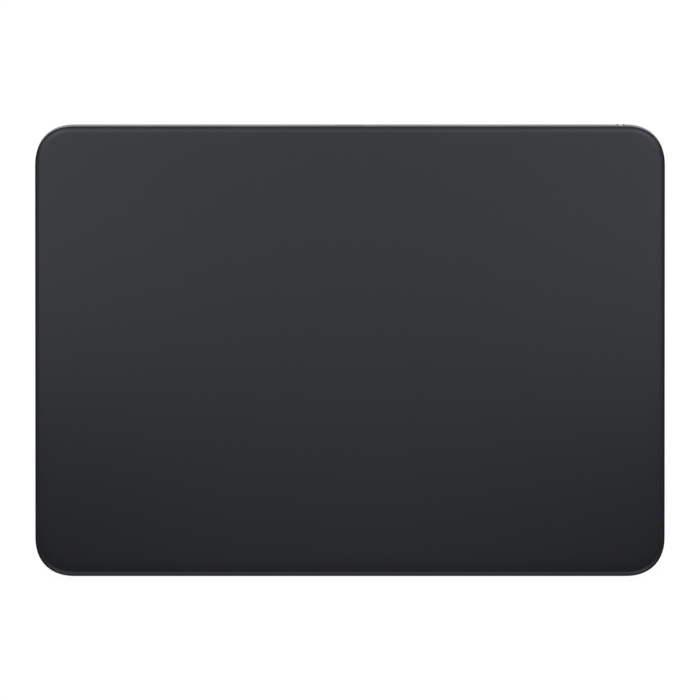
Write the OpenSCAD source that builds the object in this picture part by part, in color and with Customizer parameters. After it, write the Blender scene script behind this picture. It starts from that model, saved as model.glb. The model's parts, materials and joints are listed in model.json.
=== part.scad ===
// Desk trackpad: a sloping black touch plate that floats on four force beams over a shallow
// metal housing, with a charging port and a power slider in the back wall.
// Millimetres. +X right, +Y to the back, +Z up. The origin is on the desk under the body's middle.

/* [Body] */
// Width of the body, left to right
body_w = 160; // [150:0.5:180]
// Length of the touch surface along its slope, front to back
deck_d = 114.5; // [110:0.5:130]
// Height of the touch surface above the desk at the front edge
front_h = 4.9; // [4.7:0.1:6.5]
// Height of the touch surface above the desk at the back edge
back_h = 10.9; // [10.4:0.1:13]
// Corner radius in plan
corner_r = 9.0; // [7:0.1:11]

/* [Touch plate] */
// Thickness of the coated glass
glass_t = 1.1; // [0.9:0.05:1.4]
// Width of the rolled edge of the glass
glass_edge_w = 1.6; // [0.8:0.1:2.4]
// Drop of the rolled edge below the touch surface
glass_edge_drop = 0.6; // [0.3:0.05:0.8]
// Thickness of the adhesive film under the glass
film_t = 0.1; // [0.05:0.01:0.15]
// Thickness of the touch sensor board
sensor_t = 0.5; // [0.4:0.05:0.7]
// Inset of the sensor board from the glass edge
sensor_inset = 2.3; // [2.2:0.1:4]
// Thickness of the steel stiffener
stiffener_t = 0.4; // [0.3:0.05:0.6]
// Inset of the stiffener from the glass edge
stiffener_inset = 6; // [5.2:0.1:8]
// Travel of the plate when it is pressed
press_travel = 0.15; // [0.1:0.01:0.25]
// Sideways travel of the plate each way when the haptic drive pulses
haptic_travel = 0.1; // [0.05:0.01:0.15]

/* [Housing] */
// Thickness of the housing wall
wall_t = 1.6; // [1.3:0.05:2]
// Width of the metal rim that shows round the base plate
rim_w = 1.1; // [0.8:0.05:1.2]
// Width of the rolled bottom edge of the wall
foot_edge_w = 0.7; // [0.4:0.05:0.75]
// Rise of that rolled edge above the underside
foot_edge_h = 0.45; // [0.3:0.05:0.55]
// Width of the flange inside the wall that the base plate seats on
flange_w = 3.8; // [2.5:0.1:5]
// Thickness of that flange
flange_t = 0.8; // [0.6:0.05:0.9]
// Length of a corner gusset, from the side of the body inwards
gusset_l = 26; // [24:0.5:28]
// Width of a corner gusset, front to back
gusset_w = 15; // [13:0.5:17]

/* [Base plate and feet] */
// Thickness of the base plate
base_t = 0.9; // [0.8:0.05:1.1]
// Diameter of a foot
foot_d = 10; // [8:0.5:13]
// Height of a foot below the base plate
foot_proud = 0.6; // [0.5:0.05:0.8]
// Depth of the recess that holds a foot
foot_sink = 0.4; // [0.3:0.05:0.5]
// Distance of a foot's centre from the sides of the body
foot_inset = 14; // [13:0.25:15]
// Diameter of the screw boss above a foot
boss_d = 4.4; // [3.6:0.1:5]

/* [Force beams] */
// Distance of a beam's centre line from the front or back of the body
beam_inset = 16.5; // [15.5:0.25:18]
// Distance of the middle of a beam's root from the side of the body
beam_root_inset = 21.5; // [21:0.25:22]
// Thickness of a beam
beam_t = 0.6; // [0.4:0.05:0.7]
// Length of the beam's root
beam_root_l = 8; // [6:0.5:8.5]
// Width of the beam's root
beam_root_w = 12; // [10:0.5:13]
// Length of the beam's bending neck
beam_neck_l = 13; // [10:0.5:18]
// Width of the beam's neck
beam_neck_w = 6; // [4:0.5:8]
// Diameter of the beam's tip
beam_tip_d = 10; // [9:0.5:13]
// Distance between the two screws of a beam
beam_screw_pitch = 7; // [6:0.5:8]
// Diameter of a gel pad
gel_d = 8; // [6:0.5:9]
// Thickness of a gel pad
gel_t = 0.4; // [0.3:0.05:0.5]
// Diameter of a landing shim
shim_d = 9; // [7:0.5:10]
// Thickness of a landing shim
shim_t = 0.1; // [0.05:0.05:0.2]
// Length of a strain gauge
gauge_l = 5; // [3:0.5:8]
// Width of a strain gauge
gauge_w = 3.6; // [2.5:0.1:4]
// Thickness of a strain gauge
gauge_t = 0.1; // [0.05:0.01:0.15]

/* [Haptic drive] */
// Length of the magnet core along the pull
core_l = 24; // [20:0.5:28]
// Width of the core across its three legs
core_w = 16; // [14:0.5:18]
// Thickness of the core
core_t = 1.6; // [1.2:0.1:1.8]
// Thickness of the core's back bar
core_bar_w = 4; // [3:0.1:6]
// Build of a winding round its leg
coil_build = 0.6; // [0.4:0.05:0.7]
// Air gap left between the legs and the armature at the end of its travel
air_gap = 0.25; // [0.15:0.05:0.4]
// Thickness of the armature along the pull
armature_w = 4; // [3:0.1:5]
// Height of the armature below the stiffener
armature_h = 3.5; // [3:0.1:3.6]
// Position of the armature's near face, left of the middle
armature_x = 5.65; // [4.5:0.05:8]
// Thickness of the bracket under the core
bracket_t = 0.5; // [0.4:0.05:0.6]
// Height of the standoffs under the bracket
bracket_standoff_h = 0.5; // [0.4:0.05:0.6]

/* [Battery] */
// Gap between the cell and the gusset at its left
cell_gap = 4; // [3:0.5:10]
// Depth of the cell
cell_d = 32; // [26:1:33]
// Thickness of the cell
cell_t = 4; // [3:0.1:4.4]
// Thickness of the tape under the cell
tape_t = 0.15; // [0.1:0.05:0.2]
// Thickness of the protection board at the end of the cell
guard_t = 1; // [0.8:0.1:1.2]
// Diameter of a battery lead
lead_d = 0.9; // [0.7:0.05:1]
// Distance between the two leads
lead_pitch = 1.6; // [1.4:0.1:2]
// Bend radius of the leads
lead_bend_r = 1.6; // [1.2:0.1:2]
// Width of the channel that the leads run in
lead_channel = 7; // [6.6:0.1:9]

/* [Boards] */
// Thickness of the rigid boards
board_t = 0.8; // [0.6:0.05:1]
// Height of the standoffs under the boards
standoff_h = 1; // [0.95:0.05:1.1]
// Diameter of a standoff
standoff_d = 3.4; // [3:0.1:4]
// Width of the main board
main_w = 46; // [43:0.5:48]
// Depth of the main board
main_d = 30; // [28:0.5:32]
// Width of the port board
port_board_w = 22; // [20:0.5:26]
// Depth of the port board
port_board_d = 8; // [7.4:0.1:8.2]
// Width of the switch board
switch_board_w = 16; // [15.6:0.1:16.4]
// Thickness of the flexible circuits
flex_t = 0.15; // [0.1:0.05:0.2]
// Width of the port flex
port_flex_w = 4; // [3:0.1:4.2]
// Width of the switch flex
switch_flex_w = 2; // [1.5:0.1:2.2]
// Width of the sensor flex
sensor_flex_w = 10; // [8:0.5:11]
// Width of the haptic flex
haptic_flex_w = 2.6; // [2:0.1:2.8]
// Height of a flex socket above its board
socket_h = 0.9; // [0.7:0.05:1]
// Height of the chips above their board
chip_h = 0.9; // [0.7:0.05:1]
// Side of the controller chip
controller_side = 8; // [6:0.5:9]
// Side of the haptic driver chip
driver_side = 5; // [4:0.5:6]
// Side of the charger chip
charger_side = 4; // [3:0.5:5]
// Length of the antenna chip
antenna_l = 7; // [5:0.5:7.5]
// Depth of the radio shield
shield_d = 10; // [8:0.5:11]
// Height of the radio shield
shield_h = 1.3; // [1:0.05:1.5]
// Gap between neighbouring parts on a board
part_gap = 1; // [0.6:0.1:1.4]

/* [Charging port] */
// Inside width of the port shell
port_w = 8.34; // [8:0.02:8.6]
// Inside height of the port shell
port_h = 2.56; // [2.4:0.02:2.8]
// Wall of the port shell
port_wall = 0.3; // [0.2:0.05:0.4]
// Length of the port shell
port_l = 7.3; // [6.5:0.1:7.6]
// Width of the tongue
tongue_w = 6.69; // [6:0.01:7]
// Thickness of the tongue
tongue_t = 0.7; // [0.5:0.05:0.9]
// Length of the tongue in front of its block
tongue_l = 4.45; // [4:0.05:4.8]
// Depth of the port's mouth behind the wall's outer face
port_sink = 0.3; // [0.2:0.05:0.5]

/* [Power switch] */
// Distance of the slot's middle from the right side of the body
switch_inset = 12.25; // [12:0.05:14]
// Width of the slot in the wall
slot_w = 4.2; // [4:0.1:5]
// Height of the slot in the wall
slot_h = 1.7; // [1.5:0.05:2]
// Width of the slider knob
knob_w = 1.9; // [1.8:0.05:2.4]
// How far the knob's ribs stand out of the wall
knob_proud = 0.3; // [0.2:0.05:0.5]
// Depth of the scoop between the ribs
knob_scoop = 0.25; // [0.1:0.05:0.4]

/* [Fasteners] */
// Thread diameter of the screws
screw_d = 1.6; // [1.4:0.05:1.8]
// Head diameter of the screws
screw_head_d = 2.8; // [2.4:0.1:3]
// Head height of the screws
screw_head_h = 0.45; // [0.35:0.05:0.5]

/* [Clearances] */
// Gap round pieces that fit into each other without moving
fit_clear = 0.15; // [0.1:0.01:0.2]
// Gap round pieces that slide on each other
slide_clear = 0.1; // [0.06:0.01:0.15]
// Radial gap between a screw and its thread
thread_clear = 0.02; // [0.01:0.01:0.04]
// Gap left under the touch plate when it is fully pressed
plate_clear = 0.15; // [0.1:0.05:0.25]
// Skin left under a blind screw hole in the base plate
blind_skin = 0.3; // [0.2:0.05:0.4]

/* [Hidden] */
$fn = 64;
big = 400;

// Sloping sizes are kept to a hundredth, so that the pieces of one outline meet edge to edge.
function hundredth(x) = round(x * 100) / 100;

half_w = body_w / 2;

// The touch surface slopes up to the back, and the walls stand square to it.
tilt = asin((back_h - front_h) / deck_d);
wall_drop = (back_h - foot_proud) / cos(tilt);
body_d = deck_d * cos(tilt) + wall_drop * sin(tilt);
half_d = hundredth(body_d / 2);
deck_y0 = -half_d;

// Depths below the touch surface, square to it
film_z = glass_t;
sensor_z = film_z + film_t;
stiffener_z = sensor_z + sensor_t;
plate_z = stiffener_z + stiffener_t;
gel_z = plate_z + shim_t;
beam_z = gel_z + gel_t;
seat_z = beam_z + beam_t;
rim_z = glass_t + press_travel + plate_clear;
boss_z = plate_z + press_travel + plate_clear;

// Heights above the desk
floor_z = foot_proud + base_t;
board_z = floor_z + standoff_h;
board_top = board_z + board_t;
bracket_z = floor_z + bracket_standoff_h;
core_z = bracket_z + bracket_t;
cell_z = floor_z + tape_t;
port_z = board_top + port_wall + port_h / 2;

// The flat underside of the body
under_front_y = hundredth(deck_y0 + (front_h - foot_proud) * tan(tilt));
under_d = half_d - under_front_y;
under_y = (half_d + under_front_y) / 2;

// The roll of the bottom edge starts this far outside the wall, so that the two never share a face
edge_over = 0.06;

// The four corners: name, side and end
corner_names = ["front_left", "front_right", "rear_left", "rear_right"];
corner_sides = [-1, 1, -1, 1];
corner_ends = [-1, -1, 1, 1];
corners = [0 : 3];

// The force beams, measured from the body's middle
beam_y = half_d - beam_inset;
root_x = half_w - beam_root_inset;
tip_x = root_x - beam_root_l / 2 - beam_neck_l - beam_tip_d / 2;
gauge_x = root_x - beam_root_l / 2 - gauge_l / 2 - 1;
beam_screw_l = 0.8;

base_screw_l = base_t - foot_sink + 1.3;

// The back wall at the height of the port and the power slider
back_y = deck_y0 + deck_d * cos(tilt) + (back_h - port_z) * tan(tilt);
back_inner_y = back_y - wall_t / cos(tilt);

// The charging port and its board
port_out_w = port_w + 2 * port_wall;
port_out_h = port_h + 2 * port_wall;
port_front_y = back_y - port_sink;
port_rear_y = port_front_y - port_l;
tongue_block_l = 1.6;
tongue_y = port_rear_y + tongue_block_l;
port_board_y1 = back_inner_y - 1;
port_board_y0 = port_board_y1 - port_board_d;
port_board_x0 = -9;
port_board_x1 = port_board_x0 + port_board_w;

// The port flex runs to the front beside the right gusset, with the battery leads beside it
socket_side = 1;
port_flex_x1 = half_w - gusset_l - 2;
port_flex_x0 = port_flex_x1 - port_flex_w;
guard_x1 = port_flex_x0 - lead_channel;

// The battery lies in front of the port board
cell_x0 = gusset_l + cell_gap - half_w;
cell_x1 = guard_x1 - guard_t;
cell_w = cell_x1 - cell_x0;
cell_y1 = port_board_y0 - 1.1;
cell_y0 = cell_y1 - cell_d;
guard_d = 24;
guard_h = 3;
guard_y1 = cell_y1 - 3;

// The main board and the haptic drive lie in front of the battery
main_screw_inset = 2.5;
main_screw_zone = 2 * main_screw_inset;
main_y1 = cell_y0 - 5.4;
main_y0 = main_y1 - main_d;
main_x1 = port_flex_x1 + socket_side + 2 * main_screw_inset - part_gap;
main_x0 = main_x1 - main_w;
leg_w = core_w / 5;
core_x1 = -armature_x - haptic_travel - air_gap;
core_x0 = core_x1 - core_l;
core_y1 = main_y1 - 1;
core_y0 = core_y1 - core_w;
coil_l = core_l - core_bar_w - 2;
bracket_x0 = core_x0 - 4;
bracket_x1 = core_x1 - 1;
bracket_y0 = core_y0 - 4.4;
bracket_y1 = core_y1 + 4.8;
terminal_x0 = core_x0 + 9;
terminal_l = 6;
terminal_y0 = core_y1 + 1.2;

// The power slider and its switch
switch_x = half_w - switch_inset;
slider_travel = slot_w - knob_w - 2 * slide_clear;
knob_x = switch_x + slider_travel / 2;
knob_h = slot_h - 2 * slide_clear;
slot_r = slot_h / 4;
skirt_t = 0.6;
skirt_w = slot_w + slider_travel + 0.4;
skirt_h = slot_h + 1.2;
recess_w = skirt_w + slider_travel + 2 * fit_clear;
skirt_y1 = back_inner_y - 3 * slide_clear;
skirt_y0 = skirt_y1 - skirt_t;
lever_w = 1.2;
lever_h = 0.9;
switch_w = 7.4;
switch_h = 3;
switch_d = 3.4;
switch_wall = 0.6;
switch_y1 = skirt_y0 - 3 * slide_clear;
switch_y0 = switch_y1 - switch_d;
slider_w = 3.4;
slider_h = 1.5;
slider_d = 1.6;
slider_y1 = switch_y1 - switch_wall - slide_clear;
lever_y1 = skirt_y1 + slide_clear;
switch_board_x1 = switch_x + switch_w / 2 + 3.3;
switch_board_x0 = switch_board_x1 - switch_board_w;
switch_board_y0 = switch_y0 - 1;
switch_board_y1 = switch_y1 - 0.4;

// Flex routes, each a flat strip at the height of the boards' tops
port_flex_y0 = port_board_y0 + 0.4;
port_flex_y1 = port_flex_y0 + 3;
switch_flex_y0 = port_flex_y1 + 1.2;
flex_tail = 4;
sensor_flex_x = main_x0 + main_screw_zone + controller_side + socket_side + part_gap + sensor_flex_w / 2;
sensor_tail_y = main_y0 + 18;
sensor_rise = 7;
sensor_socket_h = 0.6;
sensor_socket_d = 4;
sensor_socket_y = sensor_tail_y - flex_tail - sensor_rise;
haptic_flex_x = main_x0 + main_screw_zone;

// Chips on the underside of the sensor board
touch_chip_x = half_w - 18;
touch_chip_side = 5;
touch_chip_t = 0.7;
touch_chip_pitch = 24;

// The battery leads end in a plug on the main board
lead_z = board_top + 0.75;
lead_x = guard_x1 + (lead_channel - socket_side - lead_pitch) / 2;
plug_side = 1.1;
lead_y = guard_y1 - guard_d + 3;
plug_d = 4;
plug_h = 1.5;
plug_y1 = main_y1 - 0.4;

// Screws that hold the boards: x, y of each
main_screws = [for (x = [main_x0, main_x1 - main_screw_zone], y = [main_y0, main_y1 - 8.5 - main_screw_zone])
               [x + main_screw_inset, y + main_screw_inset]];
port_screws = [for (x = [-1, 1]) [x * (port_out_w / 2 + 1.8), port_board_y0 + 2]];
switch_screws = [for (x = [-1, 1]) [switch_x + x * (switch_w / 2 + 1.65), switch_board_y0 + 2.2]];
board_screw_points = concat(main_screws, port_screws);
bracket_screw_points = [for (x = [bracket_x0 + 2.2, bracket_x1 - 2.2], y = [bracket_y0 + 2, bracket_y1 - 2])
                        [x, y]];
board_screw_d = screw_d - 0.2;
board_head_d = screw_head_d - 0.2;
board_screw_l = board_t + standoff_h - 0.1;

// Height of a plane that lies a depth below the touch surface, above the desk at a given y
function under_deck(y, depth) = front_h + (y - deck_y0) * tan(tilt) - depth / cos(tilt);

// Distance up the slope, on a plane at that depth, of the point at a given y
function up_slope(y, depth) = (y - deck_y0 - depth * sin(tilt)) / cos(tilt);

// A flat ribbon's side view: the strip's upper line, given as y and z, and its thickness
function ribbon(top, t) = concat(top, [for (i = [len(top) - 1 : -1 : 0]) top[i] - [0, t]]);

module rounded_rect(w, d, r) {
    square([w - 2 * r, d], center = true);
    square([w, d - 2 * r], center = true);
    for (x = [-1, 1], y = [-1, 1])
        translate([x * (w / 2 - r), y * (d / 2 - r)])
            circle(r);
}

module stadium(w, h) {
    square([w - h, h], center = true);
    for (x = [-1, 1])
        translate([x * (w - h) / 2, 0])
            circle(h / 2);
}

// A box given by two opposite corners
module box(low, high) {
    translate(low)
        cube(high - low);
}

// Side view of a sheet's edge: flat inside, rolled down to a short upright face outside
module rolled_edge(t, edge_w, drop) {
    edge_r = (edge_w * edge_w + drop * drop) / (2 * drop);
    intersection() {
        translate([0, -t])
            square([edge_w, t]);
        translate([0, -edge_r])
            circle(edge_r, $fn = 180);
    }
}

// A straight length of that edge, facing +X and running both ways along Y
module rolled_bar(length, t, edge_w, drop) {
    translate([0, length / 2, 0])
        rotate([90, 0, 0])
            linear_extrude(length)
                rolled_edge(t, edge_w, drop);
}

// A sheet of the body's outline with its top at z = 0 and its top edge rolled down all round
module rolled_sheet(w, d, t, edge_w, drop) {
    core_r = corner_r - edge_w;
    translate([0, 0, -t])
        linear_extrude(t)
            rounded_rect(w - 2 * edge_w, d - 2 * edge_w, core_r);
    for (a = [0, 180]) {
        rotate(a)
            translate([w / 2 - edge_w, 0, 0])
                rolled_bar(d - 2 * corner_r, t, edge_w, drop);
        rotate(a + 90)
            translate([d / 2 - edge_w, 0, 0])
                rolled_bar(w - 2 * corner_r, t, edge_w, drop);
    }
    for (q = [0 : 3]) {
        x = q == 0 || q == 3 ? 1 : -1;
        y = q < 2 ? 1 : -1;
        translate([x * (w / 2 - corner_r), y * (d / 2 - corner_r), 0])
            rotate(90 * q)
                rotate_extrude(angle = 90)
                    translate([core_r, 0])
                        rolled_edge(t, edge_w, drop);
    }
}

// Children in the sloping frame, with x as in the body, y up the slope and z = 0 on the touch surface
module deck() {
    translate([0, deck_y0, front_h])
        rotate([tilt, 0, 0])
            children();
}

// Children on a sloping plane at that depth, over the point x, y
module on_deck(x, y, depth) {
    deck()
        translate([x, up_slope(y, depth), -depth])
            children();
}

// A sheet of the body's outline between two depths, drawn in from the edge
module deck_sheet(inset, top, bottom) {
    deck()
        translate([0, deck_d / 2, -bottom])
            linear_extrude(bottom - top)
                rounded_rect(body_w - 2 * inset, deck_d - 2 * inset, max(corner_r - inset, 1));
}

// Everything above a sloping plane at that depth
module above_deck(depth) {
    deck()
        translate([-big / 2, -big / 2, -depth])
            cube(big);
}

// A flat shape stood up and extruded to the back from y0 to y1
module along_y(x, y0, y1, z) {
    translate([x, y0, z])
        rotate([-90, 0, 0])
            linear_extrude(y1 - y0)
                children();
}

// A level strip that follows a right-angled route of boxes, each given by low and high x and y
module level_strip(boxes, z, t) {
    for (b = boxes)
        box([b[0], b[1], z], [b[2], b[3], z + t]);
}

// A pan-head screw that points down from the underside of its head
module screw(length, d, head_d, head_h) {
    translate([0, 0, -length])
        cylinder(h = length + head_h / 2, d = d);
    cylinder(h = head_h, d = head_d);
}

// A chip on a board's top, from its near left corner
module chip(x, y, w, d) {
    color("dimgray")
        box([x, y, board_top], [x + w, y + d, board_top + chip_h]);
}

module controller_chip() {
    chip(main_x0 + main_screw_zone, main_y0 + main_screw_zone, controller_side, controller_side);
}

// Behind the controller
module haptic_driver_chip() {
    y = main_y0 + main_screw_zone + controller_side + part_gap;
    chip(main_x0 + main_screw_zone, y, driver_side, driver_side);
}

// Beside the haptic flex's socket
module charger_chip() {
    x = haptic_flex_x + haptic_flex_w + socket_side + 3 * part_gap;
    chip(x, main_y1 - charger_side - 4 * part_gap, charger_side, charger_side);
}

// At the board's right edge
module antenna_chip() {
    antenna_w = 2;
    chip(main_x1 - part_gap - antenna_w, main_y0 + main_screw_zone + part_gap, antenna_w, antenna_l);
}

// Touch plate

module touch_glass() {
    color("#26272a")
        deck()
            translate([0, deck_d / 2, 0])
                rolled_sheet(body_w, deck_d, glass_t, glass_edge_w, glass_edge_drop);
}

module glass_film() {
    color("gainsboro")
        deck_sheet(sensor_inset, film_z, sensor_z);
}

module sensor_board() {
    color("darkgreen")
        deck_sheet(sensor_inset, sensor_z, stiffener_z);
}

module touch_controllers() {
    color("dimgray")
        for (y = [-1, 1])
            on_deck(-touch_chip_x, y * touch_chip_pitch / 2, stiffener_z + touch_chip_t)
                translate([-touch_chip_side / 2, -touch_chip_side / 2, 0])
                    cube([touch_chip_side, touch_chip_side, touch_chip_t]);
}

module sensor_socket() {
    color("wheat")
        on_deck(sensor_flex_x, sensor_socket_y, stiffener_z + sensor_socket_h)
            translate([-sensor_flex_w / 2 - 1, -sensor_socket_d / 2, 0])
                cube([sensor_flex_w + 2, sensor_socket_d, sensor_socket_h]);
}

module stiffener_plate() {
    notch_x = half_w - gusset_l - 1.4;
    notch_y = beam_y - gusset_w / 2 - 1.4;
    window = 1;
    color("lightsteelblue")
        difference() {
            deck_sheet(stiffener_inset, stiffener_z, plate_z);
            // Corners cut away over the gussets and the beam screws
            for (x = [-1, 1], y = [-1, 1])
                on_deck(0, y * notch_y, plate_z + 1)
                    translate([x > 0 ? notch_x : -big - notch_x, y > 0 ? 0 : -big, 0])
                        cube([big, big, stiffener_t + 2]);
            // Windows round what hangs from the sensor board
            for (y = [-1, 1])
                on_deck(-touch_chip_x, y * touch_chip_pitch / 2, plate_z + 1)
                    translate([-touch_chip_side / 2 - window, -touch_chip_side / 2 - window, 0])
                        cube([touch_chip_side + 2 * window, touch_chip_side + 2 * window, stiffener_t + 2]);
            on_deck(sensor_flex_x, sensor_socket_y, plate_z + 1)
                translate([-sensor_flex_w / 2 - 1 - window, -sensor_socket_d / 2 - window, 0])
                    cube([sensor_flex_w + 2 + 2 * window, sensor_socket_d + 2 * window, stiffener_t + 2]);
        }
}

module landing_shims() {
    color("silver")
        for (i = corners)
            at_beam(i, gel_z)
                translate([tip_x, 0, 0])
                    cylinder(h = shim_t, d = shim_d);
}

module haptic_armature() {
    color("slategray")
        on_deck(-armature_x, (core_y0 + core_y1) / 2, plate_z + armature_h)
            translate([0, -core_w / 2, 0])
                cube([armature_w, core_w, armature_h]);
}

// Force beams

// Children at a corner's beam, on its own centre line, with +X towards that side of the body
module at_beam(i, depth) {
    deck()
        translate([0, up_slope(corner_ends[i] * beam_y, seat_z), -depth])
            mirror([corner_sides[i] < 0 ? 1 : 0, 0, 0])
                children();
}

module force_beam(i) {
    color("lightgray")
        at_beam(i, seat_z)
            linear_extrude(beam_t)
                difference() {
                    union() {
                        translate([root_x - beam_root_l / 2, -beam_root_w / 2])
                            square([beam_root_l, beam_root_w]);
                        translate([tip_x, -beam_neck_w / 2])
                            square([root_x - tip_x, beam_neck_w]);
                        translate([tip_x, 0])
                            circle(d = beam_tip_d);
                    }
                    for (y = [-1, 1])
                        translate([root_x, y * beam_screw_pitch / 2])
                            circle(d = screw_d + fit_clear);
                }
}

module strain_gauges() {
    color("peru")
        for (i = corners)
            at_beam(i, beam_z)
                translate([gauge_x - gauge_l / 2, -gauge_w / 2, 0])
                    cube([gauge_l, gauge_w, gauge_t]);
}

module gel_pad(i) {
    color("lightcyan")
        at_beam(i, beam_z)
            translate([tip_x, 0, 0])
                cylinder(h = gel_t, d = gel_d);
}

module beam_screws() {
    color("gray")
        for (i = corners, y = [-1, 1])
            at_beam(i, beam_z)
                translate([root_x, y * beam_screw_pitch / 2, 0])
                    screw(beam_t + beam_screw_l, screw_d, screw_head_d, screw_head_h);
}

// Housing, base plate and feet

// Children over a corner's foot
module at_foot(i) {
    translate([corner_sides[i] * (half_w - foot_inset), corner_ends[i] * (half_d - foot_inset), 0])
        children();
}

// The level outline of the underside, drawn in from its edge
module under_outline(inset) {
    translate([0, under_y])
        rounded_rect(body_w - 2 * inset, under_d - 2 * inset, max(corner_r - inset, 1));
}

module gusset(i) {
    x = corner_sides[i];
    y = corner_ends[i] * beam_y;
    difference() {
        translate([x > 0 ? half_w - gusset_l : wall_t / 2 - half_w, y - gusset_w / 2, floor_z])
            cube([gusset_l - wall_t / 2, gusset_w, back_h]);
        above_deck(seat_z);
    }
    difference() {
        at_foot(i)
            translate([0, 0, floor_z])
                cylinder(h = back_h, d = boss_d);
        above_deck(boss_z);
    }
}

module housing() {
    color("silver")
        difference() {
            union() {
                difference() {
                    deck_sheet(0, rim_z, wall_drop + 1);
                    deck_sheet(wall_t, 0, wall_drop + 2);
                }
                translate([0, 0, floor_z])
                    linear_extrude(flange_t)
                        difference() {
                            under_outline(wall_t / 2);
                            under_outline(wall_t + flange_w);
                        }
                for (i = corners)
                    gusset(i);
                standoffs(switch_screws, standoff_h);
            }
            // The pocket for the base plate
            linear_extrude(floor_z)
                under_outline(rim_w);
            // The level underside and its rolled edge
            difference() {
                translate([-big / 2, -big / 2, foot_proud + foot_edge_h - big])
                    cube(big);
                translate([0, under_y, foot_proud])
                    mirror([0, 0, 1])
                        rolled_sheet(body_w + 2 * edge_over, under_d + 2 * edge_over, foot_edge_h + 1,
                                     foot_edge_w, foot_edge_h);
            }
            // Threads for the base screws and the beam screws
            for (i = corners) {
                at_foot(i)
                    cylinder(h = floor_z + base_screw_l, d = screw_d + 2 * thread_clear);
                for (y = [-1, 1])
                    at_beam(i, seat_z + beam_screw_l)
                        translate([root_x, y * beam_screw_pitch / 2, 0])
                            cylinder(h = beam_screw_l + 1, d = screw_d + 2 * thread_clear);
            }
            for (p = switch_screws)
                translate([p[0], p[1], foot_proud])
                    cylinder(h = board_z, d = board_screw_d + 2 * thread_clear);
            // The port's mouth, and the slider's slot with the recess behind it
            along_y(0, port_rear_y, back_y + 2, port_z)
                stadium(port_out_w + 2 * fit_clear, port_out_h + 2 * fit_clear);
            along_y(switch_x, skirt_y0, back_y + 2, port_z)
                rounded_rect(slot_w, slot_h, slot_r);
            box([switch_x - recess_w / 2, switch_y0, port_z - skirt_h / 2 - fit_clear],
                [switch_x + recess_w / 2, skirt_y1 + slide_clear, port_z + skirt_h / 2 + fit_clear]);
        }
}

// Posts with blind threads that stand on the base plate
module standoffs(points, h) {
    for (p = points)
        translate([p[0], p[1], floor_z])
            cylinder(h = h, d = standoff_d);
}

module blind_threads(points, top_z) {
    for (p = points)
        translate([p[0], p[1], foot_proud + blind_skin])
            cylinder(h = top_z - foot_proud, d = board_screw_d + 2 * thread_clear);
}

module base_plate() {
    color("lightgray")
        difference() {
            union() {
                translate([0, 0, foot_proud])
                    linear_extrude(base_t)
                        under_outline(rim_w + fit_clear);
                standoffs(board_screw_points, standoff_h);
                standoffs(bracket_screw_points, bracket_standoff_h);
            }
            blind_threads(board_screw_points, board_z);
            blind_threads(bracket_screw_points, bracket_z);
            for (i = corners)
                at_foot(i) {
                    cylinder(h = foot_proud + foot_sink, d = foot_d + 2 * fit_clear);
                    cylinder(h = floor_z + 1, d = screw_d + 2 * fit_clear);
                }
        }
}

module base_screws() {
    color("gray")
        for (i = corners)
            at_foot(i)
                translate([0, 0, foot_proud + foot_sink])
                    mirror([0, 0, 1])
                        screw(base_screw_l, screw_d, screw_head_d, screw_head_h);
}

module foot(i) {
    color("#3a3b3d")
        at_foot(i)
            difference() {
                cylinder(h = foot_proud + foot_sink, d = foot_d);
                translate([0, 0, foot_proud + foot_sink - screw_head_h - fit_clear])
                    cylinder(h = big, d = screw_head_d + 2 * fit_clear);
            }
}

// Haptic drive

// A leg's middle, counted from the front
function leg_y(k) = core_y0 + leg_w / 2 + 2 * k * leg_w;

module haptic_core() {
    color("dimgray") {
        box([core_x0, core_y0, core_z], [core_x0 + core_bar_w, core_y1, core_z + core_t]);
        for (k = [0 : 2])
            box([core_x0 + core_bar_w, leg_y(k) - leg_w / 2, core_z],
                [core_x1, leg_y(k) + leg_w / 2, core_z + core_t]);
    }
}

// One winding round an outer leg
module haptic_coil(k) {
    x0 = core_x0 + core_bar_w + 1;
    color("peru")
        difference() {
            box([x0, leg_y(k) - leg_w / 2 - coil_build, core_z - coil_build],
                [x0 + coil_l, leg_y(k) + leg_w / 2 + coil_build, core_z + core_t + coil_build]);
            box([x0 - 1, leg_y(k) - leg_w / 2, core_z],
                [x0 + coil_l + 1, leg_y(k) + leg_w / 2, core_z + core_t]);
        }
}

module haptic_bracket() {
    x0 = core_x0 + core_bar_w + 1 - fit_clear;
    color("lightgray")
        difference() {
            box([bracket_x0, bracket_y0, bracket_z], [bracket_x1, bracket_y1, core_z]);
            for (k = [0, 2])
                box([x0, leg_y(k) - leg_w / 2 - coil_build - fit_clear, bracket_z - 1],
                    [x0 + coil_l + 2 * fit_clear, leg_y(k) + leg_w / 2 + coil_build + fit_clear, core_z + 1]);
            for (p = bracket_screw_points)
                translate([p[0], p[1], bracket_z - 1])
                    cylinder(h = bracket_t + 2, d = board_screw_d + fit_clear);
        }
}

module haptic_screws() {
    color("gray")
        for (p = bracket_screw_points)
            translate([p[0], p[1], core_z])
                screw(bracket_t + bracket_standoff_h + base_t - blind_skin - 0.1, board_screw_d, board_head_d,
                      screw_head_h);
}

module haptic_terminals() {
    color("wheat")
        box([terminal_x0, terminal_y0, core_z],
            [terminal_x0 + terminal_l, terminal_y0 + haptic_flex_w, board_top]);
}

module haptic_flex() {
    y1 = terminal_y0 + haptic_flex_w;
    color("orange")
        level_strip([[terminal_x0, terminal_y0, haptic_flex_x + haptic_flex_w, y1],
                     [haptic_flex_x, main_y1 - flex_tail, haptic_flex_x + haptic_flex_w, y1]],
                    board_top, flex_t);
}

// Battery

module battery_tape() {
    color("ivory")
        translate([(cell_x0 + cell_x1) / 2, (cell_y0 + cell_y1) / 2, floor_z])
            linear_extrude(tape_t)
                square([cell_w - 8, cell_d - 6], center = true);
}

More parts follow.
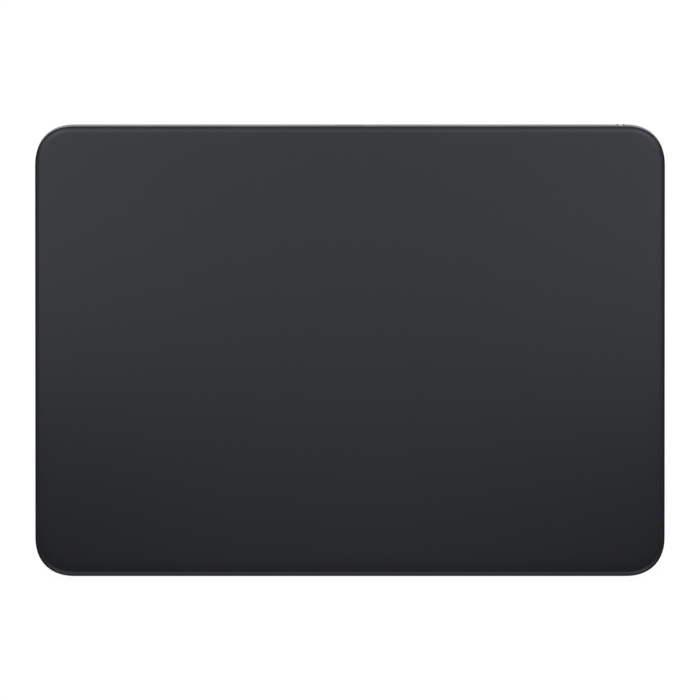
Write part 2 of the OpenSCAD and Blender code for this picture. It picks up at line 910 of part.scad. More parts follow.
module battery_cell() {
    color("darkgray")
        translate([(cell_x0 + cell_x1) / 2, (cell_y0 + cell_y1) / 2, cell_z])
            linear_extrude(cell_t)
                rounded_rect(cell_w, cell_d, 2);
}

module battery_guard_board() {
    z = cell_z + (cell_t - guard_h) / 2;
    color("darkgreen")
        box([cell_x1, guard_y1 - guard_d, z], [guard_x1, guard_y1, z + guard_h]);
}

// A lead from the guard board, round one bend, to the plug
module battery_lead(k) {
    x = lead_x + k * lead_pitch;
    y = lead_y + k * lead_pitch;
    translate([x - lead_bend_r, y - lead_bend_r, lead_z]) {
        rotate_extrude(angle = 90)
            translate([lead_bend_r, 0])
                circle(d = lead_d);
        translate([0, lead_bend_r, 0])
            rotate([0, -90, 0])
                rotate(90)
                    cylinder(h = x - lead_bend_r - guard_x1, d = lead_d);
        translate([lead_bend_r, 0, 0])
            rotate([90, 0, 0])
                cylinder(h = y - lead_bend_r - plug_y1, d = lead_d);
    }
}

module battery_plug() {
    color("ivory")
        box([lead_x - plug_side, plug_y1 - plug_d, board_top],
            [lead_x + lead_pitch + plug_side, plug_y1, board_top + plug_h]);
}

// Boards and flexible circuits

module screwed_board(low, high, points) {
    color("darkgreen")
        difference() {
            box([low[0], low[1], board_z], [high[0], high[1], board_top]);
            for (p = points)
                translate([p[0], p[1], board_z - 1])
                    cylinder(h = board_t + 2, d = board_screw_d + fit_clear);
        }
}

module main_board() {
    screwed_board([main_x0, main_y0], [main_x1, main_y1], main_screws);
}

module port_board() {
    screwed_board([port_board_x0, port_board_y0], [port_board_x1, port_board_y1], port_screws);
}

module switch_board() {
    intersection() {
        screwed_board([switch_board_x0, switch_board_y0], [switch_board_x1, switch_board_y1], switch_screws);
        deck_sheet(wall_t + fit_clear, 0, back_h);
    }
}

module board_screws() {
    color("gray")
        for (p = concat(board_screw_points, switch_screws))
            translate([p[0], p[1], board_top])
                screw(board_screw_l, board_screw_d, board_head_d, screw_head_h);
}

module radio_shield() {
    x0 = sensor_flex_x + sensor_flex_w / 2 + socket_side + part_gap;
    x1 = main_x1 - main_screw_zone;
    y0 = main_y0 + main_screw_zone + part_gap;
    y1 = y0 + shield_d;
    wall = 0.2;
    color("silver")
        difference() {
            box([x0, y0, board_top], [x1, y1, board_top + shield_h]);
            box([x0 + wall, y0 + wall, board_top - 1], [x1 - wall, y1 - wall, board_top + shield_h - wall]);
        }
}

// A socket on a board's top, with a channel under it for the flex that runs in along Y or X
module flex_socket(low, high, channel_low, channel_high) {
    color("wheat")
        difference() {
            box([low[0], low[1], board_top], [high[0], high[1], board_top + socket_h]);
            box([channel_low[0], channel_low[1], board_top - 1],
                [channel_high[0], channel_high[1], board_top + flex_t + thread_clear]);
        }
}

module flex_sockets() {
    side = socket_side;
    switch_flex_y1 = switch_flex_y0 + switch_flex_w;
    // Haptic flex on the main board
    flex_socket([haptic_flex_x - side, main_y1 - flex_tail - side],
                [haptic_flex_x + haptic_flex_w + side, main_y1 - side],
                [haptic_flex_x - thread_clear, main_y1 - flex_tail - thread_clear],
                [haptic_flex_x + haptic_flex_w + thread_clear, main_y1]);
    // Port flex on the main board and on the port board
    flex_socket([port_flex_x0 - side, main_y1 - flex_tail - side], [port_flex_x1 + side, main_y1 - side],
                [port_flex_x0 - thread_clear, main_y1 - flex_tail - thread_clear],
                [port_flex_x1 + thread_clear, main_y1]);
    flex_socket([port_board_x1 - flex_tail - side, port_flex_y0 - 0.3],
                [port_board_x1 - side, port_flex_y1 + 0.4],
                [port_board_x1 - flex_tail - thread_clear, port_flex_y0 - thread_clear],
                [port_board_x1, port_flex_y1 + thread_clear]);
    // Switch flex on the port board
    flex_socket([port_board_x1 - flex_tail - side, switch_flex_y0 - 0.5],
                [port_board_x1 - side, switch_flex_y1 + 0.4],
                [port_board_x1 - flex_tail - thread_clear, switch_flex_y0 - thread_clear],
                [port_board_x1, switch_flex_y1 + thread_clear]);
    // Sensor flex on the main board
    flex_socket([sensor_flex_x - sensor_flex_w / 2 - side, sensor_tail_y - flex_tail + 0.6],
                [sensor_flex_x + sensor_flex_w / 2 + side, sensor_tail_y + side],
                [sensor_flex_x - sensor_flex_w / 2 - thread_clear, sensor_tail_y - flex_tail],
                [sensor_flex_x + sensor_flex_w / 2 + thread_clear, sensor_tail_y + thread_clear]);
}

module port_flex() {
    color("orange")
        level_strip([[port_board_x1 - flex_tail, port_flex_y0, port_flex_x1, port_flex_y1],
                     [port_flex_x0, main_y1 - flex_tail, port_flex_x1, port_flex_y1]],
                    board_top, flex_t);
}

module switch_flex() {
    color("orange")
        level_strip([[port_board_x1 - flex_tail, switch_flex_y0,
                      switch_board_x0 + 2, switch_flex_y0 + switch_flex_w]],
                    board_top, flex_t);
}

// The ribbon that leaves the main board and rises to the socket on the moving sensor board
module sensor_flex() {
    socket_z = stiffener_z + sensor_socket_h;
    far_y = sensor_socket_y - sensor_socket_d / 2;
    near_y = sensor_socket_y + sensor_socket_d / 2;
    top = [[sensor_tail_y, board_top + flex_t],
           [sensor_tail_y - flex_tail, board_top + flex_t],
           [near_y, under_deck(near_y, socket_z)],
           [far_y, under_deck(far_y, socket_z)]];
    color("orange")
        translate([sensor_flex_x - sensor_flex_w / 2, 0, 0])
            rotate([90, 0, 90])
                linear_extrude(sensor_flex_w)
                    polygon(ribbon(top, flex_t));
}

// Charging port

module port_shell() {
    color("lightgray")
        difference() {
            along_y(0, port_rear_y, port_front_y, port_z)
                stadium(port_out_w, port_out_h);
            along_y(0, port_rear_y - 1, port_front_y + 1, port_z)
                stadium(port_w, port_h);
        }
}

module port_tongue() {
    color("dimgray") {
        along_y(0, port_rear_y, tongue_y, port_z)
            stadium(port_w - 2 * thread_clear, port_h - 2 * thread_clear);
        box([-tongue_w / 2, tongue_y, port_z - tongue_t / 2],
            [tongue_w / 2, tongue_y + tongue_l, port_z + tongue_t / 2]);
    }
}

// Power switch

module switch_frame() {
    cavity_w = slider_w + slider_travel + 2 * slide_clear;
    cavity_y0 = slider_y1 - slider_d - slide_clear;
    mouth_w = lever_w + slider_travel + 4 * slide_clear;
    color("dimgray")
        difference() {
            box([switch_x - switch_w / 2, switch_y0, board_top],
                [switch_x + switch_w / 2, switch_y1, board_top + switch_h]);
            box([switch_x - cavity_w / 2, cavity_y0, port_z - slider_h / 2 - slide_clear],
                [switch_x + cavity_w / 2, switch_y1 - switch_wall, port_z + slider_h / 2 + slide_clear]);
            box([switch_x - mouth_w / 2, slider_y1 - slide_clear, port_z - lever_h / 2 - slide_clear],
                [switch_x + mouth_w / 2, switch_y1 + 1, port_z + lever_h / 2 + slide_clear]);
        }
}

module switch_slider() {
    color("whitesmoke") {
        box([knob_x - slider_w / 2, slider_y1 - slider_d, port_z - slider_h / 2],
            [knob_x + slider_w / 2, slider_y1, port_z + slider_h / 2]);
        box([knob_x - lever_w / 2, slider_y1, port_z - lever_h / 2],
            [knob_x + lever_w / 2, lever_y1, port_z + lever_h / 2]);
    }
}

module switch_knob() {
    tip_y = back_y + knob_proud;
    scoop_w = knob_w / 2;
    pocket_w = lever_w + 2 * slide_clear;
    pocket_h = lever_h + 2 * slide_clear;
    color("dimgray")
        difference() {
            union() {
                box([knob_x - skirt_w / 2, skirt_y0, port_z - skirt_h / 2],
                    [knob_x + skirt_w / 2, skirt_y1, port_z + skirt_h / 2]);
                along_y(knob_x, skirt_y0, tip_y, port_z)
                    rounded_rect(knob_w, knob_h, slot_r - slide_clear);
            }
            box([knob_x - scoop_w / 2, tip_y - knob_scoop, port_z - knob_h],
                [knob_x + scoop_w / 2, tip_y + 1, port_z + knob_h]);
            box([knob_x - pocket_w / 2, skirt_y0 - 1, port_z - pocket_h / 2],
                [knob_x + pocket_w / 2, lever_y1 + slide_clear, port_z + pocket_h / 2]);
        }
}

touch_glass();
glass_film();
sensor_board();
touch_controllers();
sensor_socket();
stiffener_plate();
landing_shims();
haptic_armature();
for (i = corners) gel_pad(i);
for (i = corners) force_beam(i);
for (i = corners) foot(i);
strain_gauges();
beam_screws();
housing();
base_plate();
base_screws();
haptic_core();
haptic_coil(0);  // haptic_coil_front
haptic_coil(2);  // haptic_coil_rear
haptic_bracket();
haptic_screws();
haptic_terminals();
haptic_flex();
battery_cell();
battery_tape();
battery_guard_board();
color("firebrick") battery_lead(0);  // battery_lead_positive
color("black") battery_lead(1);  // battery_lead_negative
battery_plug();
main_board();
controller_chip();
radio_shield();
charger_chip();
haptic_driver_chip();
antenna_chip();
flex_sockets();
board_screws();
sensor_flex();
port_shell();
port_tongue();
port_board();
port_flex();
switch_frame();
switch_slider();
switch_knob();
switch_board();
switch_flex();
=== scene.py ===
"""Looks of a desk trackpad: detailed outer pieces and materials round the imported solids.

Lengths are millimetres until a mesh is finished, and metres from then on.
"""

import json
import math

import bmesh
import bpy
from mathutils import Matrix, Vector


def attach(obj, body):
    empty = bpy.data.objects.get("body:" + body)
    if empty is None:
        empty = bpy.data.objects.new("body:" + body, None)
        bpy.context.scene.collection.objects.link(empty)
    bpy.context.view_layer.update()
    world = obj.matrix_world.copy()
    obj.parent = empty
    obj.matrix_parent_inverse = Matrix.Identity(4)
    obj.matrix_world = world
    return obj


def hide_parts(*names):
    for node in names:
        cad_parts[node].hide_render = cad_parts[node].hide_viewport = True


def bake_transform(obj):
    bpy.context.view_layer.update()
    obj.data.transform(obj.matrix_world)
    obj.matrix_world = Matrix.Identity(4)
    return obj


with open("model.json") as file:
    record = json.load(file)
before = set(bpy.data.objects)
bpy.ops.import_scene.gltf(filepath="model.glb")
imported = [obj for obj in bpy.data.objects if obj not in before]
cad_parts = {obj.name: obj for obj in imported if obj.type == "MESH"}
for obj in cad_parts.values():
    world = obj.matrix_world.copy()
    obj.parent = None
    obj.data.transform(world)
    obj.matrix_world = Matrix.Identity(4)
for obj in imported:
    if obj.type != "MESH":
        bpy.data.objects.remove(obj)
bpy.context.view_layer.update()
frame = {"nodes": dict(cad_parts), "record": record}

MM = 0.001

# Body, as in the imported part
BODY_W = 160
DECK_D = 114.5
FRONT_H = 4.9
BACK_H = 10.9
CORNER_R = 9.0
LEAST_R = 1
HALF_W = BODY_W / 2
HALF_D = 57.44
TILT = math.asin((BACK_H - FRONT_H) / DECK_D)

# Touch plate
GLASS_T = 1.1
ROLL_W = 1.6
ROLL_DROP = 0.6
EASE_W = 5.0
EASE_DROP = 0.12
GLASS_FOOT_R = 0.12
GLASS_FOOT_STEPS = 4

# Housing and base
WALL_T = 1.6
RIM_Z = 1.4
RIM_W = 1.1
FOOT_PROUD = 0.6
BASE_T = 0.9
FLOOR_Z = FOOT_PROUD + BASE_T
BOTTOM_EDGE_W = 0.7
BOTTOM_EDGE_H = 0.45
FLANGE_W = 3.8
FLANGE_T = 0.8
TOP_EDGE_R = 0.15
TOP_EDGE_STEPS = 4
GUSSET_L = 26
GUSSET_W = 15
SEAT_Z = 3.2
BEAM_INSET = 16.5
BEAM_ROOT_INSET = 21.5
BEAM_SCREW_PITCH = 7
BEAM_SCREW_L = 0.8
BOSS_D = 4.4
BOSS_Z = 2.4
SCREW_D = 1.64
BASE_THREAD_L = 1.8
OVERCUT = 1

# Feet
FOOT_D = 10
FOOT_H = 1.0
FOOT_INSET = 14
FOOT_EDGE_R = 0.3
FOOT_EDGE_STEPS = 6
FOOT_BACK_EDGE = 0.08
FOOT_POCKET_D = 3.1
FOOT_POCKET_Z = 0.4

# Charging port in the back wall; the power slider stands at the same height
PORT_Z = 4.88
BACK_Y = 57.217
OPENING_CHAMFER = 0.07
PORT_W = 8.94
PORT_H = 3.16
PORT_WALL = 0.3
PORT_GAP = 0.15
MOUTH_W = PORT_W + 2 * PORT_GAP
MOUTH_H = PORT_H + 2 * PORT_GAP
PORT_SINK = 0.3
PORT_L = 7.3
PORT_LIP_STEPS = 8
TONGUE_W = 6.69
TONGUE_T = 0.7
TONGUE_L = 4.45
TONGUE_BLOCK_L = 1.6
TONGUE_EDGE = 0.1
TONGUE_FIT = 0.04
CONTACTS = 12
CONTACT_PITCH = 0.5
CONTACT_W = 0.26
CONTACT_L = 3.6
CONTACT_T = 0.03
CONTACT_INSET = 0.3

# Power slider, at the end of its slot
SLOT_X = 67.75
SLOT_W = 4.2
SLOT_H = 1.7
SLOT_R = 0.425
KNOB_X = 68.8
KNOB_W = 1.9
KNOB_H = 1.5
KNOB_R = 0.325
KNOB_PROUD = 0.3
KNOB_EDGE = 0.12
KNOB_EDGE_STEPS = 5
SCOOP_W = 0.95
SCOOP_D = 0.25
SCOOP_R = 0.15
LEDGE_W = 0.12
LEDGE_FALL = 0.04
SKIRT_W = 6.7
SKIRT_H = 2.9
SKIRT_T = 0.6
SKIRT_R = 0.1
SKIRT_GAP = 0.3
LEVER_W = 1.4
LEVER_H = 1.1
LEVER_REACH = 0.2

# Painted shade, in dark aluminium, inside the two openings: where it starts behind the wall's face, how far
# round an opening it reaches, and how far a shaded face may turn to the back
PAINTED_SHADE_START = 0.3
PAINTED_SHADE_REACH = 0.02
PAINTED_SHADE_TURN = 0.5

# Painted highlight, in bright metal, on the cut between the knob's ribs: how far it reaches round the
# scoop, and behind the wall's face
HIGHLIGHT_REACH = 0.01
HIGHLIGHT_DEPTH = 0.2

# Beams under the plate, and its ribbon cable: y and z of the route's lower face
BEAM_ROOT_L = 8
BEAM_NECK_L = 13
RIBBON_X = 31
RIBBON_W = 10
RIBBON_T = 0.15
RIBBON_ROUTE = ((-3.884, 3.3), (-7.884, 3.3), (-12.884, 4.785), (-16.884, 4.575))

# How finely corners and arcs are drawn, how softly corners start, and the turn past which edges are sharp
CORNER_STEPS = 24
CORNER_POWER = 2.3
ARC_STEPS = 10
ROUND_STEPS = 48
SHARP_ANGLE = math.radians(32)


# Points and rings

def corner_reach(r):
    """Length that a softened corner takes from each side, for the same diagonal as a plain radius."""
    return r * (1 - 0.5 ** 0.5) / (1 - 0.5 ** (1 / CORNER_POWER))


def outline(w, d, r):
    """A rounded rectangle about the origin, anticlockwise, with corners that start softly."""
    reach = corner_reach(r)
    power = 2 / CORNER_POWER
    quarter = []
    for k in range(CORNER_STEPS + 1):
        a = math.pi / 2 * k / CORNER_STEPS
        quarter.append((reach * math.cos(a) ** power, reach * math.sin(a) ** power))
    cx, cy = w / 2 - reach, d / 2 - reach
    back_right = [(cx + x, cy + y) for x, y in quarter]
    back_left = [(-x, y) for x, y in reversed(back_right)]
    front_left = [(-x, -y) for x, y in back_right]
    front_right = [(x, -y) for x, y in reversed(back_right)]
    return back_right + back_left + front_left + front_right


def inner_r(inset):
    return max(CORNER_R - inset, LEAST_R)


def on_deck(x, up, depth):
    """A point a depth below the touch surface, that far up its slope from the front edge."""
    y = -HALF_D + up * math.cos(TILT) + depth * math.sin(TILT)
    return Vector((x, y, FRONT_H + up * math.sin(TILT) - depth * math.cos(TILT)))


def deck_ring(inset, depth):
    flat = outline(BODY_W - 2 * inset, DECK_D - 2 * inset, inner_r(inset))
    return [on_deck(x, DECK_D / 2 + y, depth) for x, y in flat]


def under_deck(y, depth):
    """Height of a sloping plane at that depth, over a given y."""
    return FRONT_H + (y + HALF_D) * math.tan(TILT) - depth / math.cos(TILT)


def level_ring(inset, z):
    """The body's outline at the underside, drawn in from its edge."""
    front = -HALF_D + (FRONT_H - FOOT_PROUD) * math.tan(TILT)
    flat = outline(BODY_W - 2 * inset, HALF_D - front - 2 * inset, inner_r(inset))
    return [Vector((x, y + (HALF_D + front) / 2, z)) for x, y in flat]


def circle_ring(x, y, z, r):
    turns = [2 * math.pi * k / ROUND_STEPS for k in range(ROUND_STEPS)]
    return [Vector((x + r * math.cos(a), y + r * math.sin(a), z)) for a in turns]


def upright(flat, x, y, lean=0.0):
    """A flat outline stood up to face the back, at that y, leaning with the back wall where asked."""
    return [Vector((x - u, y - v * lean, PORT_Z + v)) for u, v in flat]


def stadium(w, h):
    half = ROUND_STEPS // 2
    points = []
    for side in (1, -1):
        for k in range(half + 1):
            a = math.pi * k / half - math.pi / 2
            points.append((side * ((w - h) / 2 + h / 2 * math.cos(a)), side * h / 2 * math.sin(a)))
    return points


def plain_rect(w, h, r):
    points = []
    for cx, cy, start in ((1, 1, 0), (-1, 1, 1), (-1, -1, 2), (1, -1, 3)):
        for k in range(ARC_STEPS + 1):
            a = math.pi / 2 * (start + k / ARC_STEPS)
            points.append((cx * (w / 2 - r) + r * math.cos(a), cy * (h / 2 - r) + r * math.sin(a)))
    return points


# Meshes

def loft(bm, rings, loop=False):
    """Quads between rings of the same count; the ends are capped, or the last ring joins the first."""
    rows = [[bm.verts.new(p) for p in ring] for ring in rings]
    pairs = list(zip(rows, rows[1:]))
    if loop:
        pairs.append((rows[-1], rows[0]))
    for low, high in pairs:
        for k in range(len(low)):
            j = (k + 1) % len(low)
            bm.faces.new((low[k], low[j], high[j], high[k]))
    if not loop:
        bm.faces.new(list(reversed(rows[0])))
        bm.faces.new(rows[-1])


def finish_mesh(name, bm):
    """An object of that mesh, still in millimetres, with its faces turned outwards."""
    bmesh.ops.recalc_face_normals(bm, faces=bm.faces)
    mesh = bpy.data.meshes.new(name)
    bm.to_mesh(mesh)
    bm.free()
    piece = bpy.data.objects.new(name, mesh)
    bpy.context.scene.collection.objects.link(piece)
    return piece


def lofted(name, *solids, loop=False):
    """One object of several separate lofted solids, each a list of rings."""
    bm = bmesh.new()
    for rings in solids:
        loft(bm, rings, loop)
    return finish_mesh(name, bm)


def block(low, high, top=None):
    """Rings of a box; top gives the upper corners' height over their y, for a sloping top."""
    corners = [(low[0], low[1]), (high[0], low[1]), (high[0], high[1]), (low[0], high[1])]
    lower = [Vector((x, y, low[2])) for x, y in corners]
    upper = [Vector((x, y, top(y) if top else high[2])) for x, y in corners]
    return [lower, upper]


def carve(piece, tool, operation):
    """Cuts the tool from the piece, or joins it on, and removes the tool."""
    change = piece.modifiers.new(operation, "BOOLEAN")
    change.operation = operation
    change.solver = "EXACT"
    change.object = tool
    bpy.context.view_layer.update()
    graph = bpy.context.evaluated_depsgraph_get()
    mesh = bpy.data.meshes.new_from_object(piece.evaluated_get(graph))
    piece.modifiers.clear()
    piece.data = mesh
    bpy.data.objects.remove(tool)


def settle(piece, material, slot, body, *nodes, bend=None):
    """Takes a finished piece to metres, dresses it, and puts it in place of its nodes.

    With bend, the piece is not attached to a body: its place is baked into its mesh, and the two points are
    not used.
    """
    mesh = piece.data
    mesh.name = piece.name
    mesh.transform(Matrix.Scale(MM, 4))
    mesh.materials.clear()
    mesh.materials.append(material)
    mesh.shade_smooth()
    mesh.set_sharp_from_angle(angle=SHARP_ANGLE)
    if bend:
        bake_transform(piece)
    else:
        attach(piece, body)
    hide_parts(*nodes)
    return piece


# Materials

GLASS_GLOSS = 0.55
GLASS_TINT = (0.855, 0.883, 1.0)
METAL_GLOSS = 0.5
METAL_EDGE_TINT = (0.135, 0.135, 0.14)

# The range that most of the noise falls in, and what the bands and the broad noise add to the grain
NOISE_LOW = 0.3
NOISE_HIGH = 0.7
NOISE_DETAIL = 3.0
BAND_SHARE = 0.6
BROAD_SHARE = 0.5

# Colour and how far it varies, roughness, sizes of the grain, of its relief and of broad patches in
# millimetres, and the pitch and axis of any bands
FINISHES = {
    "coated_glass": dict(colour=(0.0068, 0.007, 0.008), vary=0.04, rough=(0.29, 0.31),
                         grain=0.12, relief=0.0006, broad=45),
    # anodised_aluminium is the housing's own colour, and also a painted highlight in the cut of the knob's
    # scoop
    "anodised_aluminium": dict(colour=(0.62, 0.625, 0.635), vary=0.03, rough=(0.36, 0.44),
                               grain=0.09, relief=0.004, metallic=1.0),
    # dark_aluminium is the knob's own dark colour, and also painted shade inside the back wall's openings
    "dark_aluminium": dict(colour=(0.11, 0.112, 0.118), vary=0.05, rough=(0.36, 0.44),
                           grain=0.09, relief=0.004, metallic=1.0),
    "base_plastic": dict(colour=(0.58, 0.585, 0.59), vary=0.04, rough=(0.5, 0.6),
                         grain=0.25, relief=0.012),
    "foot_rubber": dict(colour=(0.075, 0.075, 0.08), vary=0.12, rough=(0.7, 0.82),
                        grain=0.2, relief=0.015, broad=5),
    "clear_film": dict(colour=(0.82, 0.83, 0.82), vary=0.03, rough=(0.25, 0.35),
                       grain=0.6, relief=0.003),
    "circuit_board": dict(colour=(0.02, 0.13, 0.07), vary=0.25, rough=(0.3, 0.42),
                          grain=0.35, relief=0.008, broad=8, lines=(0.8, "X")),
    "chip_plastic": dict(colour=(0.04, 0.04, 0.045), vary=0.15, rough=(0.5, 0.62),
                         grain=0.12, relief=0.006, broad=4),
    "socket_plastic": dict(colour=(0.8, 0.75, 0.65), vary=0.05, rough=(0.42, 0.52),
                           grain=0.15, relief=0.005, broad=4),
    "sheet_steel": dict(colour=(0.6, 0.61, 0.62), vary=0.06, rough=(0.22, 0.34),
                        grain=0.1, relief=0.002, metallic=1.0, stretch=(0.05, 1, 1)),
    "magnet_steel": dict(colour=(0.22, 0.22, 0.23), vary=0.12, rough=(0.35, 0.45),
                         grain=0.15, relief=0.01, metallic=1.0, lines=(0.35, "Z")),
    "clear_gel": dict(colour=(0.62, 0.7, 0.74), vary=0.04, rough=(0.15, 0.25),
                      grain=0.8, relief=0.004, broad=4),
    "gauge_film": dict(colour=(0.55, 0.33, 0.12), vary=0.2, rough=(0.3, 0.4),
                       grain=0.2, relief=0.004, broad=3, lines=(0.4, "Y")),
    "screw_steel": dict(colour=(0.42, 0.42, 0.43), vary=0.1, rough=(0.25, 0.36),
                        grain=0.15, relief=0.004, broad=2, metallic=1.0),
    "copper_winding": dict(colour=(0.72, 0.38, 0.18), vary=0.18, rough=(0.25, 0.35),
                           grain=0.2, relief=0.05, broad=3, metallic=1.0, lines=(0.16, "X")),
    "flex_film": dict(colour=(0.55, 0.28, 0.06), vary=0.18, rough=(0.28, 0.38),
                      grain=0.3, relief=0.006, broad=6, lines=(0.5, "X")),
    "cell_foil": dict(colour=(0.5, 0.51, 0.52), vary=0.06, rough=(0.3, 0.42),
                      grain=1.2, relief=0.03, metallic=0.85),
    "lead_red": dict(colour=(0.5, 0.02, 0.02), vary=0.08, rough=(0.4, 0.5),
                     grain=0.3, relief=0.006, broad=5),
    "lead_black": dict(colour=(0.02, 0.02, 0.02), vary=0.12, rough=(0.4, 0.5),
                       grain=0.3, relief=0.006, broad=5),
    "contact_gold": dict(colour=(0.83, 0.62, 0.28), vary=0.05, rough=(0.2, 0.28),
                         grain=0.1, relief=0.002, broad=2, metallic=1.0),
}


def node(tree, kind, inputs, **settings):
    made = tree.nodes.new("ShaderNode" + kind)
    for key, value in settings.items():
        setattr(made, key, value)
    for key, value in inputs.items():
        if isinstance(value, bpy.types.NodeSocket):
            tree.links.new(value, made.inputs[key])
        else:
            made.inputs[key].default_value = value
    return made


def noise(tree, place, size):
    """Soft noise with features about that size, in millimetres."""
    inputs = {"Vector": place, "Scale": 1 / (size * MM), "Detail": NOISE_DETAIL}
    return node(tree, "TexNoise", inputs).outputs[0]


def bands(tree, place, pitch, direction):
    """Even bands of that pitch, in millimetres, along one axis."""
    wave = node(tree, "TexWave", {"Vector": place, "Scale": math.pi / (10 * pitch * MM)},
                bands_direction=direction)
    return wave.outputs[1]


def blend(tree, first, second, share):
    """Weighted sum of two values, with that share of the second."""
    part = node(tree, "Math", {0: first, 1: 1 - share}, operation="MULTIPLY").outputs[0]
    return node(tree, "Math", {0: second, 1: share, 2: part}, operation="MULTIPLY_ADD").outputs[0]


def spread(tree, value, low, high, start=NOISE_LOW, end=NOISE_HIGH):
    inputs = {"Value": value, "From Min": start, "From Max": end, "To Min": low, "To Max": high}
    return node(tree, "MapRange", inputs).outputs[0]


def ramp(tree, value, dark, light):
    made = node(tree, "ValToRGB", {"Fac": value})
    ends = made.color_ramp.elements
    for element, place, colour in zip(ends, (NOISE_LOW, NOISE_HIGH), (dark, light)):
        element.position = place
        element.color = (*colour, 1)
    return made.outputs[0]


def shade(colour, factor):
    return tuple(c * factor for c in colour)


def surface(name, colour, vary, rough, grain, relief,
            broad=20, metallic=0.0, stretch=(1, 1, 1), lines=None):
    """A grained material: colour and roughness vary a little, and the grain stands in relief."""
    material = bpy.data.materials.new("finish_" + name)
    material.use_nodes = True
    tree = material.node_tree
    shader = tree.nodes["Principled BSDF"]
    place = node(tree, "TexCoord", {}).outputs["Object"]
    drawn = node(tree, "Mapping", {"Vector": place, "Scale": stretch}).outputs[0]
    fine = noise(tree, drawn, grain)
    if lines:
        fine = blend(tree, fine, bands(tree, place, *lines), BAND_SHARE)
    mixed = blend(tree, fine, noise(tree, place, broad), BROAD_SHARE)
    tint = ramp(tree, mixed, shade(colour, 1 - vary), shade(colour, 1 + vary))
    tree.links.new(tint, shader.inputs["Base Color"])
    tree.links.new(spread(tree, mixed, *rough), shader.inputs["Roughness"])
    bump = node(tree, "Bump", {"Height": fine, "Strength": 1.0, "Distance": relief * MM})
    tree.links.new(bump.outputs[0], shader.inputs["Normal"])
    shader.inputs["Metallic"].default_value = metallic
    return material


def make_materials():
    """The finish of each material slot, by its name, and of the port's contacts."""
    materials = {name: surface(name, **finish) for name, finish in FINISHES.items()}
    tint_gloss(materials["coated_glass"], GLASS_GLOSS, GLASS_TINT)
    tint_gloss(materials["anodised_aluminium"], METAL_GLOSS, METAL_EDGE_TINT)
    return materials


def tint_gloss(material, level, tint):
    """Sets the strength and tint of a material's gloss: head-on for glass, at a grazing angle for metal."""
    shader = material.node_tree.nodes["Principled BSDF"]
    shader.inputs["Specular IOR Level"].default_value = level
    shader.inputs["Specular Tint"].default_value = (*tint, 1)


def dress_nodes(materials):
    """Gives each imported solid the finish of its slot."""
    for row in frame["record"]["subparts"]:
        mesh = frame["nodes"][row["node"]].data
        mesh.materials.clear()
        mesh.materials.append(materials[row["material_slot"]])


# Pieces

def arc(start, end, steps=ARC_STEPS):
    return [start + (end - start) * k / steps for k in range(steps + 1)]


def roll_profile():
    """Inset and depth of the rolled edge, which eases in and then turns down along an arc."""
    turn_drop = ROLL_DROP - EASE_DROP
    turn_r = (ROLL_W ** 2 + turn_drop ** 2) / (2 * turn_drop)
    steep = math.asin(ROLL_W / turn_r)
    insets = arc(EASE_W, ROLL_W)[:-1]
    insets += [ROLL_W - turn_r * math.sin(a) for a in arc(0, steep, 2 * ARC_STEPS)]
    profile = []
    for inset in insets:
        turn = turn_r - math.sqrt(turn_r ** 2 - max(ROLL_W - inset, 0) ** 2)
        profile.append((inset, EASE_DROP * (1 - inset / EASE_W) ** 2 + turn))
    return profile


def build_glass(materials):
    profile = [(2 * EASE_W, 0)] + roll_profile()
    for a in arc(0, math.pi / 2, GLASS_FOOT_STEPS):
        profile.append((GLASS_FOOT_R * (1 - math.cos(a)), GLASS_T - GLASS_FOOT_R * (1 - math.sin(a))))
    glass = lofted("touch_face", [deck_ring(inset, depth) for inset, depth in profile])
    settle(glass, materials["coated_glass"], "coated_glass", "touch_plate", "touch_glass")


def wall_rings():
    """The housing's section, carried round the body: outer wall, bottom edge, flange, inner wall, rim."""
    edge_r = (BOTTOM_EDGE_W ** 2 + BOTTOM_EDGE_H ** 2) / (2 * BOTTOM_EDGE_H)
    steep = math.asin(BOTTOM_EDGE_W / edge_r)
    rings = []
    for a in arc(math.pi / 2, 0, TOP_EDGE_STEPS):
        rings.append(deck_ring(TOP_EDGE_R * (1 - math.cos(a)), RIM_Z + TOP_EDGE_R * (1 - math.sin(a))))
    for a in arc(steep, 0):
        inset = BOTTOM_EDGE_W - edge_r * math.sin(a)
        rings.append(level_ring(inset, FOOT_PROUD + edge_r * (1 - math.cos(a))))
    rings.append(level_ring(RIM_W - TOP_EDGE_R / 2, FOOT_PROUD))
    rings.append(level_ring(RIM_W, FOOT_PROUD + TOP_EDGE_R / 2))
    rings.append(level_ring(RIM_W, FLOOR_Z))
    rings.append(level_ring(WALL_T + FLANGE_W, FLOOR_Z))
    rings.append(level_ring(WALL_T + FLANGE_W, FLOOR_Z + FLANGE_T))
    rings.append(level_ring(WALL_T, FLOOR_Z + FLANGE_T))
    rings.append(deck_ring(WALL_T, RIM_Z + TOP_EDGE_R))
    rings.append(deck_ring(WALL_T - TOP_EDGE_R, RIM_Z))
    return rings


def flared(flat, grown, x, from_y):
    """Rings of an opening in the back wall, from inside it out, with a chamfer at the outer face."""
    lean = math.tan(TILT)
    return [upright(flat, x, from_y),
            upright(flat, x, BACK_Y - OPENING_CHAMFER, lean),
            upright(grown, x, BACK_Y + OPENING_CHAMFER, lean)]


def corner_spots(inset_x, inset_y):
    return [(x * (HALF_W - inset_x), y * (HALF_D - inset_y)) for x in (-1, 1) for y in (-1, 1)]


def corner_name(x, y):
    return ("rear_" if y > 0 else "front_") + ("right" if x > 0 else "left")


def gussets():
    solids = []
    for x, y in corner_spots(0, BEAM_INSET):
        ends = sorted((x - math.copysign(GUSSET_L, x), x - math.copysign(WALL_T / 2, x)))
        low = (ends[0], y - GUSSET_W / 2, FLOOR_Z)
        high = (ends[1], y + GUSSET_W / 2, FLOOR_Z)
        solids.append(block(low, high, top=lambda at: under_deck(at, SEAT_Z)))
    return solids


